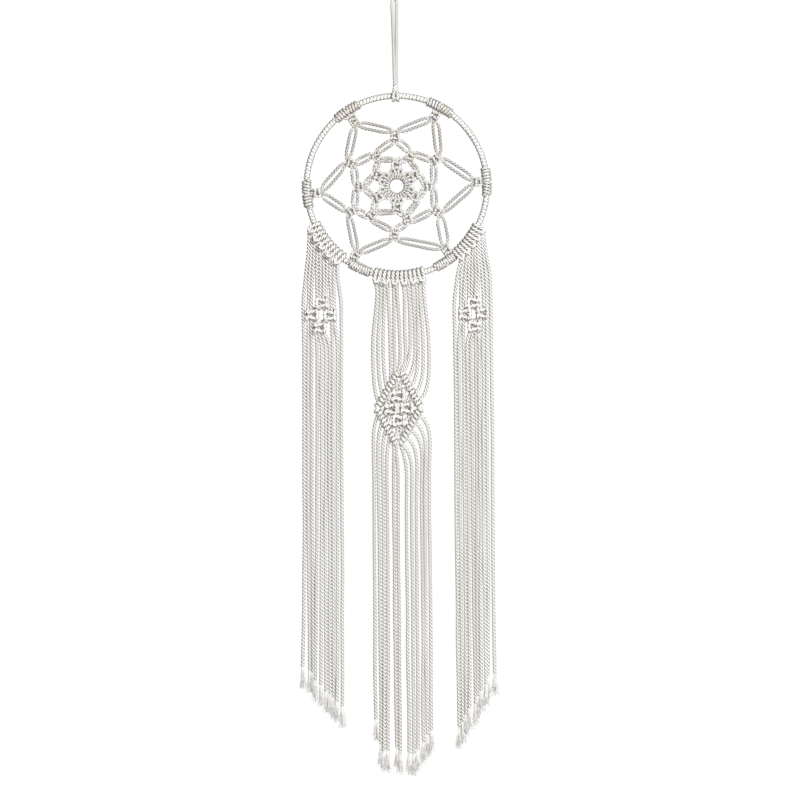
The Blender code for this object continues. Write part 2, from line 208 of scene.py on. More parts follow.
CENTRE = Fringe(
    name="centre", first_loop=-104.3, last_loop=-74.0, cords=6,
    crease=Row(0.855, 2.3), row=Row(1.02, 1.5), lean=-1.5,
    nudges=(0, -0.1, -0.25, -0.4, -0.1, -0.3, 0.35, 0.35, 0.35, 0.4, 0.1, 0),
    longer=(-4, 15, 13, 8, 2, 0, 0, 5, 7, 6, 8, 8), knots=(),
)
BOW = Row(1.02, 2.1)
BOW_NUDGES = (0, 0, 0, 0.4, 0.2, 0.25, 0.3, 0.4, 0.35, -0.1, -0.1, 0)


# Paths. A path point is (x, y, z, radius of the cord there).

def polar(angle, radius, front=0.0):
    """A point at an angle in degrees from +X round the hoop's centre, brought to the front by front."""
    turn = math.radians(angle)
    return HOOP_CENTRE + np.array((radius * math.cos(turn), -front, radius * math.sin(turn)))


def by_tube(angle, along, front, out):
    """A point near the hoop's tube: along the hoop from an angle, in front of the tube and out of it."""
    return polar(angle + math.degrees(along / HOOP_RADIUS), HOOP_RADIUS + out, front)


def below_centre(x, drop, front=0.0):
    """A point that hangs below the hoop's centre."""
    return HOOP_CENTRE + np.array((x, -front, -drop))


def sized(points, radius):
    """Path points from plain points and one radius."""
    return [np.append(point, radius) for point in points]


def smooth(path, spacing):
    """An evenly spaced smooth curve through a path's points, and how far along each of its points is."""
    path = np.array(path, float)
    steps = np.linalg.norm(np.diff(path[:, :3], axis=0), axis=1)
    places = np.concatenate(([0.0], np.cumsum(np.sqrt(steps))))
    slopes = np.gradient(path, places, axis=0)
    share = np.linspace(0.0, 1.0, 17)[:-1, None, None]
    length = np.diff(places)[None, :, None]
    curve = (
        (1 + 2 * share) * (1 - share) ** 2 * path[:-1]
        + share * (1 - share) ** 2 * length * slopes[:-1]
        + share ** 2 * (3 - 2 * share) * path[1:]
        + share ** 2 * (share - 1) * length * slopes[1:]
    )
    curve = np.concatenate((curve.transpose(1, 0, 2).reshape(-1, 4), path[-1:]))
    lengths = np.concatenate(([0.0], np.cumsum(np.linalg.norm(np.diff(curve[:, :3], axis=0), axis=1))))
    count = max(2, int(round(lengths[-1] / spacing)) + 1)
    even = np.linspace(0.0, lengths[-1], count)
    return np.stack([np.interp(even, lengths, curve[:, i]) for i in range(4)], axis=1), even


def transported_normals(tangents):
    """A way square to the curve at each point, turning as little as it can."""
    normal = np.cross(tangents[0], (0.0, 1.0, 0.0))
    if np.linalg.norm(normal) < 0.1:
        normal = np.cross(tangents[0], (1.0, 0.0, 0.0))
    normals = np.empty_like(tangents)
    for i, tangent in enumerate(tangents):
        normal = normal - tangent * normal.dot(tangent)
        normal /= np.linalg.norm(normal)
        normals[i] = normal
    return normals


def curve_ways(points):
    """At each point of a curve: the way along it and two ways square to it."""
    tangents = np.gradient(points, axis=0)
    tangents /= np.linalg.norm(tangents, axis=1, keepdims=True)
    normals = transported_normals(tangents)
    return tangents, normals, np.cross(tangents, normals)


# Meshes

class Shape:
    """Corners and faces of one piece while it is built, with the values its material reads.

    For each corner, one list holds its painted shade, darker in the grooves between the plies and where
    turns touch, together with the cord's grey, and another its tone. places hold, for each corner of each
    face, how far along and round its cord it is.
    """

    def __init__(self):
        self.corners = []
        self.faces = []
        self.grey_and_painted_shade = []
        self.tones = []
        self.places = []
        self.count = 0

    def add_tube(self, rings, grey_and_painted_shade, tone, along):
        """A closed tube from rings of corners, each ring with the same number of corners."""
        ring_count, sides = rings.shape[:2]
        first = self.count
        index = first + np.arange(ring_count * sides).reshape(ring_count, sides)
        after = np.roll(index, -1, axis=1)
        quads = np.stack((index[:-1], after[:-1], after[1:], index[1:]), axis=-1).reshape(-1, 4)
        self.corners.append(rings.reshape(-1, 3))
        self.faces += quads.tolist()
        self.grey_and_painted_shade.append(np.broadcast_to(grey_and_painted_shade, (ring_count, sides)).ravel())
        self.tones.append(np.full(ring_count * sides, tone))
        around = np.arange(sides) / sides
        low_u = np.repeat(along[:-1], sides)
        high_u = np.repeat(along[1:], sides)
        low_v = np.tile(around, ring_count - 1)
        high_v = low_v + 1.0 / sides
        corners = ((low_u, low_v), (low_u, high_v), (high_u, high_v), (high_u, low_v))
        self.places.append(np.stack([np.stack(c, axis=-1) for c in corners], axis=1).reshape(-1, 2))
        self.faces.append(index[0][::-1].tolist())
        self.faces.append(index[-1].tolist())
        self.places.append(np.zeros((2 * sides, 2)))
        self.count += ring_count * sides

    def to_object(self, name):
        mesh = bpy.data.meshes.new(name)
        mesh.from_pydata((np.concatenate(self.corners) * MM).tolist(), [], self.faces)
        for label, values in (("groove", self.grey_and_painted_shade), ("tone", self.tones)):
            attribute = mesh.attributes.new(label, "FLOAT", "POINT")
            attribute.data.foreach_set("value", np.concatenate(values).astype(np.float32))
        layer = mesh.uv_layers.new(name="cord")
        layer.data.foreach_set("uv", np.concatenate(self.places).astype(np.float32).ravel())
        mesh.shade_smooth()
        thing = bpy.data.objects.new(name, mesh)
        bpy.context.scene.collection.objects.link(thing)
        return thing


def add_rope(shape, path, tone, shades, spacing=RING_SPACING, lay=LAY, pressed=1.0, pressed_way=None,
             meet=None):
    """A rope of three plies along a path. Gives the ways that its first ply points at its two ends.

    shades is how grey the crests of the plies are and how dark the painted shade in their grooves is.
    pressed is the share of its thickness that a flattened rope keeps, and pressed_way gives, for a point,
    the way it is pressed. A flattened rope gets painted shade at its sides, where it lies against its next
    turn.
    meet is the ways that another rope's first ply points where this one carries it on, at both ends.
    """
    curve, along = smooth(path, spacing)
    points = curve[:, :3]
    tangents, normals, across = curve_ways(points)
    profile = np.array(PLY_PROFILE * PLIES)
    sides = len(profile)
    start = random_source.uniform(0.0, math.tau)
    twist = math.tau * along[-1] / lay
    if meet is not None:
        start, finish = [math.atan2(meet[i].dot(across[i]), meet[i].dot(normals[i])) for i in (0, -1)]
        twist += math.remainder(start - twist - finish, math.tau / PLIES)
    ply_turn = start - twist * along / along[-1]
    turn = ply_turn[:, None] + math.tau * np.arange(sides)[None, :] / sides
    reach = curve[:, 3:4] * profile[:, 0][None, :]
    offsets = (
        (reach * np.cos(turn))[..., None] * normals[:, None, :]
        + (reach * np.sin(turn))[..., None] * across[:, None, :]
    )
    # Painted shade in the grooves between the plies, paler where the cord is tightly bent; the crests take
    # the cord's grey
    bend = np.linalg.norm(np.gradient(tangents, axis=0), axis=1) / np.gradient(along)
    bend = np.convolve(bend, np.full(7, 1 / 7), mode="same")
    paler = 1.0 - BENT_FADE * np.clip(bend * 3.0 * CORD_RADIUS, 0.0, 1.0)
    grey_and_painted_shade = np.interp(profile[:, 1], (0.0, 1.0), shades)[None, :] * paler[:, None]
    if pressed_way is not None:
        ways = np.array([pressed_way(point) for point in points])[:, None, :]
        towards = (offsets * ways).sum(axis=-1, keepdims=True)
        # Painted shade at the sides, where a pressed turn lies against the next one
        painted_contact_shade = 0.8 - 2.0 * np.abs(towards[..., 0]) / reach
        grey_and_painted_shade = np.maximum(grey_and_painted_shade, np.clip(painted_contact_shade, 0.0, 1.0))
        offsets -= (1.0 - pressed) * towards * ways
    shape.add_tube(points[:, None, :] + offsets, grey_and_painted_shade, tone, along / lay)
    return [math.cos(ply_turn[i]) * normals[i] + math.sin(ply_turn[i]) * across[i] for i in (0, -1)]


def add_yarn(shape, path, tone):
    """One thin smooth yarn of an unravelled end."""
    curve, along = smooth(path, YARN_SPACING)
    points = curve[:, :3]
    tangents, normals, across = curve_ways(points)
    turn = math.tau * np.arange(YARN_SIDES) / YARN_SIDES
    offsets = (
        np.cos(turn)[None, :, None] * normals[:, None, :]
        + np.sin(turn)[None, :, None] * across[:, None, :]
    )
    rings = points[:, None, :] + curve[:, 3][:, None, None] * offsets
    shape.add_tube(rings, np.zeros(YARN_SIDES), 0.4 * tone, along / LAY)


def add_tuft(shape, end, tone):
    """The unravelled end of a cord: yarns that leave the rope's end and spread as they fall."""
    for _ in range(TUFT_YARNS):
        angle = random_source.uniform(0.0, math.tau)
        way = np.array((math.cos(angle), 0.8 * math.sin(angle), 0.0))
        inside = random_source.uniform(0.1, 0.62) * CORD_RADIUS
        spread = TUFT_SPREAD * random_source.uniform(0.15, 1.0)
        length = TUFT_LENGTH * random_source.uniform(0.62, 1.0)
        sway = random_source.normal(0.0, 0.45, (4, 3))
        path = [np.append(end + way * inside - DOWN * 4.0, YARN_RADIUS)]
        for step, share in enumerate((0.0, 0.35, 0.7, 1.0)):
            point = end + DOWN * length * share + way * (inside + (spread - inside) * share ** 1.3)
            point = point + sway[step] * (0.3 + share) * (1.0, 1.0, 0.5)
            path.append(np.append(point, YARN_RADIUS * (1.1 - 0.55 * share)))
        add_yarn(shape, path, tone)


# Knots

# Sizes are in radii of the cord: across, down and to the front. The lower half mirrors the upper one.
CROSSING_CORD = (
    (-2.2, -3.8, 0.0), (-2.1, -3.0, 0.2), (-1.5, -2.4, 1.1), (-0.5, -2.1, 1.65), (0.7, -1.8, 1.65),
    (1.8, -1.4, 1.0), (2.5, -0.7, 0.3), (2.7, 0.0, 0.0),
)
WINDING_CORD = (
    (2.2, -3.8, 0.0), (2.5, -3.1, 0.8), (2.5, -2.0, 1.8), (2.0, -1.0, 1.6), (1.5, -0.6, 0.3),
    (1.0, -0.7, -1.1), (0.2, -1.1, -1.65), (-0.7, -2.1, -1.55), (-1.2, -3.0, -0.4), (-1.6, -3.2, 0.9),
    (-2.1, -2.7, 1.9), (-2.5, -1.5, 2.2), (-2.6, 0.0, 2.15),
)
FILLER_CORD = ((0.8, -3.8, 0.0), (0.75, -2.3, 0.0), (0.75, 0.0, -0.1))


def both_halves(upper):
    """A cord's whole way through a knot from its upper half."""
    return list(upper) + [(u, -v, w) for u, v, w in upper[-2::-1]]


def square_knot(centre, across, down, radius, tall=1.0):
    """The ways of the four cords of a square knot, from one side to the other, as path points."""
    mirror = random_source.choice((-1.0, 1.0))
    crossing = [(mirror * u, v, w) for u, v, w in both_halves(CROSSING_CORD)]
    winding = [(mirror * u, v, w) for u, v, w in both_halves(WINDING_CORD)]
    fillers = [[(side * u, v, w) for u, v, w in both_halves(FILLER_CORD)] for side in (-1.0, 1.0)]
    ways = [crossing] + fillers + [winding]
    if mirror < 0.0:
        ways = [winding] + fillers + [crossing]
    return [
        sized([centre + radius * (u * across + tall * v * down + w * FRONT) for u, v, w in way], radius)
        for way in ways
    ]


def hitch_half(angle, along, radius, bar_out=BAR_OUT, pinch=1.0):
    """Half a lark's head: from the bar in front, over the inside of the hoop, and out behind the bar.

    along is the loop's distance along the hoop from the knot's middle. pinch narrows the knot at its bar.
    """
    around = TUBE_RADIUS + 0.7 * radius
    swell = min(1.15 * radius, abs(along))
    turns = (
        (0.40 * pinch, around + 0.45 * radius, bar_out, 1.05 * radius),
        (0.96 * pinch, around + 0.3 * radius, 0.62 * bar_out, swell),
        (1.0, around, 0.0, swell),
        (1.0, 0.72 * around, -0.72 * around, swell),
        (1.0, 0.0, -around, swell),
        (1.0, -0.72 * around, -0.72 * around, radius),
        (1.0, -around, 0.0, radius),
        (0.95, -0.75 * around, 0.7 * around, radius),
        (0.9 * pinch, -0.35 * radius, 0.86 * bar_out, radius),
    )
    return [np.append(by_tube(angle, along * wide, front, out), size) for wide, front, out, size in turns]


def turns_round_hoop(angle, start, sense, turns, pitch, radius):
    """A strand wound round the hoop: in over the front, then round and along the hoop from start."""
    around = TUBE_RADIUS + 0.3 * radius
    points = []
    steps = int(turns * 8) + 3
    for i in range(steps):
        turn = math.pi - math.tau * i / 8
        along = start + sense * pitch * i / 8
        points.append(by_tube(angle, along, around * math.sin(turn), around * math.cos(turn)))
    return sized(points, radius)


def edge_turns(centre, edge_way, radius, pitch):
    """A strand's double hitch on a slanting edge cord: in from above, twice over its front, out below."""
    up = np.array((-edge_way[2], 0.0, edge_way[0]))
    if up[2] < 0.0:
        up = -up
    orbit = 1.5 * radius
    points = []
    for i in range(13):
        turn = math.pi * 3.0 * i / 12
        along = pitch * (turn / math.tau - 0.75)
        points.append(centre + edge_way * along + orbit * (math.cos(turn) * up + math.sin(turn) * FRONT))
    return sized(points, radius)


# Web

def web_frame(angle):
    """The ways across (anticlockwise) and outwards at an angle of the web."""
    sine, cosine = math.sin(math.radians(angle)), math.cos(math.radians(angle))
    return np.array((-sine, 0.0, cosine)), np.array((cosine, 0.0, sine))


def web_knots():
    """The ways through every square knot of the web: a list of six knots for each of its four rings."""
    rings = []
    for ring, share in zip((KNOT_A, KNOT_B, KNOT_C, KNOT_D), WEB_KNOT_RADII):
        rings.append([
            square_knot(polar(angle, radius), *web_frame(angle), share * WEB_RADIUS, WEB_KNOT_TALL)
            for angle, radius in ring
        ])
    return rings


def ring_half_hitch(angle, radius):
    """Half a lark's head on the centre ring: from the bar in front, through the hole, and out behind."""
    around = RING_WIRE_RADIUS + 0.95 * radius
    turns = [(7.4, 1.15 * around), (3.6, 1.25 * around), (0.0, around), (-0.75 * around, 0.7 * around)]
    turns += [(-around, 0.0), (-0.75 * around, -0.7 * around), (0.0, -around), (3.6, -0.9 * around)]
    return sized([polar(angle, RING_RADIUS + out, front) for out, front in turns], radius)


def pair_points(start, end, apart):
    """Where one strand of a pair runs beside the other between two knots."""
    along = end - start
    sideways = np.array((-along[2], 0.0, along[0], 0.0)) / np.linalg.norm(along)
    if along[:3].dot((start + end)[:3] / 2 - HOOP_CENTRE) < 0.0:
        sideways = -sideways
    points = []
    for share, room in ((0.15, 0.82), (0.5, 1.0), (0.85, 0.82)):
        point = start + along * share + sideways * apart * room
        point[3] = WEB_RADIUS
        points.append(point)
    return points


def web_strand(knots, ray, side, near):
    """One strand from the ring out to the hoop. near says that it keeps nearer to its inner ray."""
    path = ring_half_hitch(30.0 + 60.0 * ray + side * (7.5 if near else 22.5), 0.76 * WEB_RADIUS)
    outer_ray = (ray + (side + 1) // 2) % 6
    for level in range(4):
        index = ray if level % 2 == 0 else outer_ray
        keeps = side if level % 2 == 0 else -side
        inside = near == (level % 2 == 0)
        place = {(-1, False): 0, (-1, True): 1, (1, True): 2, (1, False): 3}[(keeps, inside)]
        way = knots[level][index][place]
        if level:
            apart = PAIR_HALF[level - 1]
            if level == 3 and (ray, side) == WIDE_PAIR:
                apart = WIDE_PAIR_HALF
            apart = side * (-1 if near else 1) * (apart + random_source.normal(0.0, 0.2))
            path += pair_points(path[-1], way[0], apart)
        path += way
    pitch = TURN_PITCH if outer_ray < 4 else LAST_TURN_PITCH
    sense = 1 if place > 1 else -1
    start = sense * pitch * (0.2 if place in (1, 2) else 2.2)
    path += turns_round_hoop(HOOP_TURNS_AT[outer_ray], start, sense, 2.0, pitch, 0.96 * WEB_RADIUS)
    return path


def add_web(material):
    """Twelve cords, each folded on the centre ring, with both strands knotted out to the hoop."""
    knots = web_knots()
    number = 0
    for ray in range(6):
        for side in (-1, 1):
            number += 1
            near = web_strand(knots, ray, side, near=True)
            far = web_strand(knots, ray, side, near=False)
            shape = Shape()
            add_rope(shape, near[::-1] + far, cord_tone(), WEB_SHADES, spacing=WEB_RING_SPACING)
            piece = finish_piece(shape, f"web_cord_{number:02d}_knotted", material)
            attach(piece, "hoop")
            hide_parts(f"web_cord_{number:02d}")


# Hoop

def add_hoop_wrap(material):
    """The cord wound round the hoop's wire, pressed flat against it."""
    orbit = (WIRE_RADIUS + TUBE_RADIUS) / 2
    turns = int(round(math.radians(WRAP_SWEEP) * HOOP_RADIUS / WRAP_PITCH))
    points = []
    for i in range(turns * 8 + 1):
        turn = math.tau * i / 8
        angle = WRAP_FIRST + WRAP_SWEEP * i / (turns * 8)
        points.append(polar(angle, HOOP_RADIUS + orbit * math.cos(turn), orbit * math.sin(turn)))

    def from_wire(point):
        spoke = point - HOOP_CENTRE
        spoke[1] = 0.0
        nearest = HOOP_CENTRE + spoke / np.linalg.norm(spoke) * HOOP_RADIUS
        return (point - nearest) / np.linalg.norm(point - nearest)

    shape = Shape()
    add_rope(
        shape, sized(points, 0.54 * WRAP_PITCH), WRAP_TONE, WRAP_SHADES, lay=0.9 * LAY,
        pressed=(TUBE_RADIUS - WIRE_RADIUS) / WRAP_PITCH, pressed_way=from_wire,
    )
    piece = finish_piece(shape, "hoop_wrapping_cord", material)
    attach(piece, "hoop")
    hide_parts("hoop_wrap")


# Fringes

def cord_tone():
    """How warm a cord's white is: most are neutral, a few clearly beige."""
    tone = random_source.uniform(0.0, 0.35)
    return tone + 0.55 if random_source.uniform() < 0.22 else tone


def row_ends(fringe):
    """How far right the first and the last strand of a fringe's solids hang."""
    boxes = [node_box(f"{fringe.name}_cord_{cord + 1}_legs") for cord in range(fringe.cords)]
    left = min(low[0] for low, high in boxes) + CORD_RADIUS
    right = max(high[0] for low, high in boxes) - CORD_RADIUS
    return left, right


def strand_x(fringe, strand, row, nudges=None):
    """How far right a strand hangs in a row."""
    left, right = row_ends(fringe)
    middle = (left + right) / 2
    place = (strand + (nudges or fringe.nudges)[strand]) / (2 * fringe.cords - 1)
    return middle + row.shift + (left + (right - left) * place - middle) * row.spread


def end_drops(fringe):
    """How far down each strand ends: the longer strand of a cord as its solid, the other in line."""
    known = []
    for cord in range(fringe.cords):
        lower_strand = 2 * cord + 1
        if fringe.name == "right" or (fringe.name == "centre" and cord >= fringe.cords / 2):
            lower_strand = 2 * cord
        low = node_box(f"{fringe.name}_cord_{cord + 1}_legs")[0]
        known.append((lower_strand, HOOP_CENTRE[2] - low[2]))
    (first, first_drop), (second, second_drop) = known[:2]
    known.insert(0, (2 * first - second, 2 * first_drop - second_drop))
    (first, first_drop), (second, second_drop) = known[:-3:-1]
    known.append((2 * first - second, 2 * first_drop - second_drop))
    strands, drops = zip(*known)
    in_line = [float(np.interp(strand, strands, drops)) for strand in range(2 * fringe.cords)]
    return [drop + longer for drop, longer in zip(in_line, fringe.longer)]


def hanging(start, x, end_drop, lean):
    """A strand hanging free from a point down to its end, not quite straight."""
    points = []
    start_drop = HOOP_CENTRE[2] - start[2]
    count = max(2, int((end_drop - start_drop) / HANGING_STEP))
    lean = lean + random_source.normal(0.0, 0.35)
    drift = random_source.normal(0.0, 1.1)
    end_out = random_source.uniform(-1.2, 1.2)
    for step in range(1, count + 1):
        share = step / count
        wave = random_source.normal(0.0, 0.22, 2)
        drop = start_drop + (end_drop - start_drop) * share
        across = x + lean * share + drift * share ** 4 + wave[0]
        points.append(below_centre(across, drop, wave[1] + end_out * share ** 2))
    return sized(points, CORD_RADIUS)


def falling(start, crease):
    """From a hitch down to the crease: straight down at first, then drifting into the row."""
    fall = start[2] - crease[2]
    points = []
    for share, moved in ((0.2, 0.1), (0.55, 0.4)):
        if fall * share > SHORTEST_FALL:
            x = start[0] + (crease[0] - start[0]) * moved
            points.append(np.array((x, 0.0, start[2] - fall * share)))
    return sized(points + [crease], CORD_RADIUS)


def side_knots(fringe):
    """The square knots of a side fringe's diamond: the first of their four strands, and the ways."""
    middle = sum(row_ends(fringe)) / 2
    made = []
    for first, right, drop in fringe.knots:
        centre = below_centre(middle + right, drop, 0.5)
        ways = square_knot(centre, RIGHT_WAY, DOWN, KNOT_CORD_RADIUS, KNOT_TALL)
        made.append((first, ways))
    return made


def side_route(fringe, strand, knots):
    """Below the crease: through the diamond of four square knots. Gives the path and the end's x."""
    path = []
    for first, ways in knots:
        if first <= strand < first + 4:
            path += ways[strand - first]
    x = strand_x(fringe, strand, fringe.row)
    if not path:
        drops = (fringe.knots[0][2], fringe.knots[-1][2])
        path = sized([below_centre(x, drop) for drop in drops], CORD_RADIUS)
    lowest = HOOP_CENTRE[2] - path[-1][2]
    in_row = below_centre(x, max(lowest + 11.0, fringe.knots[-1][2] + 16.0))
    return path + sized([in_row], CORD_RADIUS), x


def panel_edge(side, lower):
    """Start, way and length of one of the diamond's edges: upper ones run outwards, lower ones inwards."""
    middle = DIAMOND_TOP + DIAMOND_HEIGHT / 2
    top = below_centre(DIAMOND_MIDDLE + 1.0 + side * 1.5, DIAMOND_TOP, CORD_RADIUS)
    corner = below_centre(DIAMOND_MIDDLE + side * DIAMOND_HALF_WIDTH, middle, CORD_RADIUS)
    bottom = below_centre(DIAMOND_MIDDLE - 1.5 + side * 1.5, DIAMOND_TOP + DIAMOND_HEIGHT, CORD_RADIUS)
    start, end = (corner, bottom) if lower else (top, corner)
    way = end - start
    return start, way / np.linalg.norm(way), np.linalg.norm(way)


def panel_x(place):
    """How far right the diamond's strand hangs, counted over the ten that cross it."""
    return DIAMOND_MIDDLE + (place - 4.5) * PANEL_SPACING


def panel_knots():
    """The square knots inside the diamond: the first of their four strands, and the ways."""
    made = []
    for first, right, drop in PANEL_KNOTS:
        centre = below_centre(panel_x(first + 1.5) + right, DIAMOND_TOP + DIAMOND_HEIGHT / 2 + drop, 0.8)
        made.append((first, square_knot(centre, RIGHT_WAY, DOWN, PANEL_CORD_RADIUS, KNOT_TALL)))
    return made


def edge_route(side, bow_x, x):
    """The way of a middle strand, which runs along two edges of the diamond panel."""
    points = [below_centre(bow_x, BOW_DROP - 15.0), below_centre(bow_x, DIAMOND_TOP - 10.0)]
    for lower in (False, True):
        start, way, length = panel_edge(side, lower)
        points += [start + way * length * share for share in (0.04, 0.35, 0.65, 0.93)]
    lowest = DIAMOND_TOP + DIAMOND_HEIGHT
    points += [below_centre((x + points[-1][0]) / 2, lowest + 10.0), below_centre(x, lowest + 24.0)]
    return sized(points, CORD_RADIUS)


def centre_route(fringe, strand, knots):
    """Below the crease: the middle two strands edge the diamond panel, the rest are hitched to them."""
    side = -1 if strand < fringe.cords else 1
    from_middle = fringe.cords - 1 - strand if side < 0 else strand - fringe.cords
    x = strand_x(fringe, strand, fringe.row)
    bow_x = strand_x(fringe, strand, BOW, BOW_NUDGES)
    if from_middle == 0:
        return edge_route(side, bow_x, x), x
    upper, way, length = panel_edge(side, False)
    lower, lower_way, lower_length = panel_edge(side, True)
    share = (from_middle - 0.42) / (fringe.cords - 1)
    entering = upper + way * length * share
    enter_drop = HOOP_CENTRE[2] - entering[2]
    path = [below_centre(bow_x, min(BOW_DROP, enter_drop - 40.0))]
    for above, moved in ((27.0, 0.08), (13.0, 0.42)):
        path.append(below_centre(bow_x + (entering[0] - bow_x) * moved, enter_drop - above))
    path = sized(path, CORD_RADIUS) + edge_turns(entering, way, EDGE_CORD_RADIUS, EDGE_PITCH)
    leaving = lower + lower_way * lower_length * (1.0 - share)
    leave_drop = HOOP_CENTRE[2] - leaving[2]
    place = strand if side < 0 else strand - 2
    inside = panel_x(place)
    crosses_panel = 0 < place < 9
    if crosses_panel:
        path += sized([below_centre(inside, enter_drop + 8.0)], CORD_RADIUS)
    for first, ways in knots:
        if first <= place < first + 4:
            path += ways[place - first]
    if crosses_panel:
        path += sized([below_centre(inside, leave_drop - 8.0)], CORD_RADIUS)
    path += edge_turns(leaving, lower_way, EDGE_CORD_RADIUS, EDGE_PITCH)
    for below, moved in ((11.0, 0.6), (24.0, 1.0)):
        point = below_centre(leaving[0] + (x - leaving[0]) * moved, leave_drop + below)
        path += sized([point], CORD_RADIUS)
    return path, x


def add_fringe(fringe, material):
    """The cords of a fringe, each hitched on the hoop, with two strands down to their tufts."""
    ends = end_drops(fringe)
    centre = fringe.name == "centre"
    knots = panel_knots() if centre else side_knots(fringe)
    route = centre_route if centre else side_route
    joint = joint_place(f"{fringe.name}_fringe_swing")
    loop_step = (fringe.last_loop - fringe.first_loop) / (2 * fringe.cords - 1)
    for cord in range(fringe.cords):
        angle = fringe.first_loop + loop_step * (2 * cord + 0.5)
        half = math.radians(loop_step) / 2 * HOOP_RADIUS
        halves = []
        tips = []
        for strand, side in ((2 * cord, -1), (2 * cord + 1, 1)):
            hitch = hitch_half(angle, side * half, CORD_RADIUS)
            crease_x = strand_x(fringe, strand, fringe.crease)
            fall = falling(hitch[-1][:3], np.array((crease_x, 0.0, joint[2])))
            path, x = route(fringe, strand, knots)
            end = ends[strand] - TUFT_LENGTH * 0.92 + random_source.normal(0.0, 1.5)
            down = hitch + fall + path + hanging(path[-1][:3], x, end, fringe.lean)
            tips.append(down[-1][:3])
            halves.append(down)
        shape = Shape()
        tone = cord_tone()
        shades = (random_source.uniform(0.0, FRINGE_CREST_SHADE), 1.0)
        add_rope(shape, halves[0][::-1] + halves[1], tone, shades)
        for tip in tips:
            add_tuft(shape, tip, tone)
        name = f"{fringe.name}_cord_{cord + 1}"
        piece = finish_piece(shape, f"{name}_knotted", material)
        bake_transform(piece)
        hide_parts(f"{name}_hitch", f"{name}_legs")


# Hanger

def hanger_leg(side, heights):
    """Path points of a hanging strand: beside the other at the top, half behind it above the hitch."""
    points = []
    for z in heights:
        half = float(np.interp(z, (TURN_Z, SWAY_Z), HANGER_HALF_GAPS))
        behind = float(np.interp(z, (TURN_Z, SWAY_Z), (0.5 * HANGER_RADIUS, 0.0)))
        points.append(np.array((side * half, side * behind, z)))
    return sized(points, HANGER_RADIUS)


def hanging_loop():
    """Path points of the loop over the hook and the knot below it, from the left strand to the right."""
    width = (LOOP_HIGH[0] - LOOP_LOW[0]) / 2 - HANGER_RADIUS
    crown = LOOP_HIGH[2] - HANGER_RADIUS
    right = [(0.42 * width, crown - 1.1), (0.82 * width, -5.5), (width, -20.0), (0.8 * width, -36.0)]
    right += [(2.4, LOOP_KNOT_TOP + 3.0)]
    left = [(-x, z) for x, z in right[::-1]]
    core = [(0.3, LOOP_KNOT_TOP - 3.0), (0.0, (LOOP_KNOT_TOP + LOOP_KNOT_LOW) / 2)]
    core += [(0.6, LOOP_KNOT_LOW + 1.0)]
    over = [np.array((x, 0.0, z)) for x, z in left + [(0.0, crown)] + right + core]
    wind = []
    for i in range(int(LOOP_KNOT_TURNS * 8) + 1):
        turn = math.pi - math.tau * i / 8
        fallen = (LOOP_KNOT_TOP - LOOP_KNOT_LOW - 1.5) * i / (LOOP_KNOT_TURNS * 8)
        x, y = LOOP_KNOT_ORBIT * math.cos(turn), -LOOP_KNOT_ORBIT * math.sin(turn)
        wind.append(np.array((x, y, LOOP_KNOT_TOP + 0.5 - fallen)))
    return sized(wind[::-1] + over, HANGER_RADIUS)


def add_hanger(material):
    """The hanging loop with its knot, and the two strands down to the lark's head on the hoop."""
    split = (SWAY_Z + TURN_Z) / 2
    upper = (SWAY_Z - 1.0, SWAY_Z - 14.0, split + 8.0, split)
    path = hanger_leg(-1, upper[::-1]) + hanging_loop() + hanger_leg(1, upper)
    shape = Shape()
    left_way, right_way = add_rope(shape, path, HANGER_TONE, HANGER_SHADES, lay=HANGER_LAY)
    piece = finish_piece(shape, "hanging_loop_cord", material)
    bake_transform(piece)
    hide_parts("hanger_loop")

    shape = Shape()
    lower = (split, split - 8.0, TURN_Z + 20.0, TURN_Z + 8.0)
    head = [
        hitch_half(90.0, side * HITCH_HALF, HANGER_RADIUS, HANGER_BAR_OUT, HANGER_PINCH)
        for side in (-1, 1)
    ]
    path = hanger_leg(1, lower) + head[0][::-1] + head[1] + hanger_leg(-1, lower[::-1])
    add_rope(shape, path, HANGER_TONE, HANGER_SHADES, lay=HANGER_LAY, meet=(right_way, left_way))
    piece = finish_piece(shape, "hanging_cord_hitched", material)
    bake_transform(piece)
    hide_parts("hanger_cords", "hanger_hitch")


# Materials

